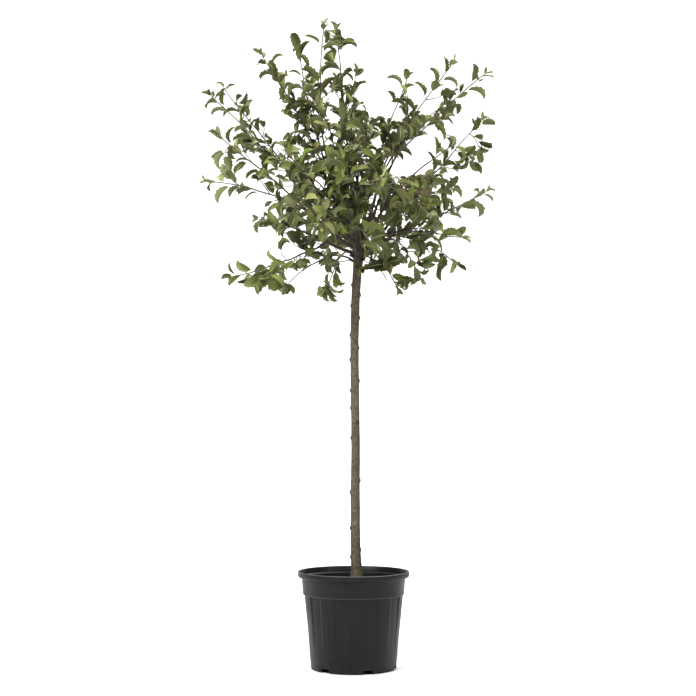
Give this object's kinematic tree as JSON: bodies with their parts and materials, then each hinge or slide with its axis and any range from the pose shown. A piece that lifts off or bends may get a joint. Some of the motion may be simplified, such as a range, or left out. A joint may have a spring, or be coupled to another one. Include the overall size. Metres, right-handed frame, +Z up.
{
  "type": "potted toringo crabapple tree",
  "caption": "Young crabapple grown as a standard: a straight clear stem with a round open leafy crown, in a fluted round nursery pot filled with soil.",
  "frame": {"origin": "centre of the pot's flat underside, which stands on the ground", "axes": "+Z up along the stem, +X to the right as seen from the front, +Y from the front to the back"},
  "size_m": [0.7506, 0.7543, 1.6388],
  "materials": {
    "pot_plastic": "moulded charcoal plastic, satin",
    "soil": "moist crumbly potting compost, rough",
    "bark": "young grey-brown bark, rough",
    "foliage": "soft green leaves on thin twigs, matt"
  },
  "bodies": {
    "root": {"bough_back_high": "bark", "bough_back_left": "bark", "bough_back_low": "bark", "bough_back_mid": "bark", "bough_back_right": "bark", "bough_crest": "bark", "bough_front_high": "bark", "bough_front_left": "bark", "bough_front_low": "bark", "bough_front_mid": "bark", "bough_front_right": "bark", "bough_left_high": "bark", "bough_left_low": "bark", "bough_left_mid": "bark", "bough_left_upper": "bark", "bough_right_drop": "bark", "bough_right_high": "bark", "bough_right_low": "bark", "bough_right_mid": "bark", "bough_right_upper": "bark", "mass_back_high": "foliage", "mass_back_left": "foliage", "mass_back_low": "foliage", "mass_back_mid": "foliage", "mass_back_right": "foliage", "mass_crest": "foliage", "mass_drop_left": "foliage", "mass_front_high": "foliage", "mass_front_left": "foliage", "mass_front_low": "foliage", "mass_front_mid": "foliage", "mass_front_right": "foliage", "mass_hanger_left": "foliage", "mass_hanger_right": "foliage", "mass_left_high": "foliage", "mass_left_low": "foliage", "mass_left_mid": "foliage", "mass_left_upper": "foliage", "mass_right_drop": "foliage", "mass_right_high": "foliage", "mass_right_low": "foliage", "mass_right_mid": "foliage", "mass_right_upper": "foliage", "pot": "pot_plastic", "soil": "soil", "trunk": "bark"}
  },
  "joints": []
}
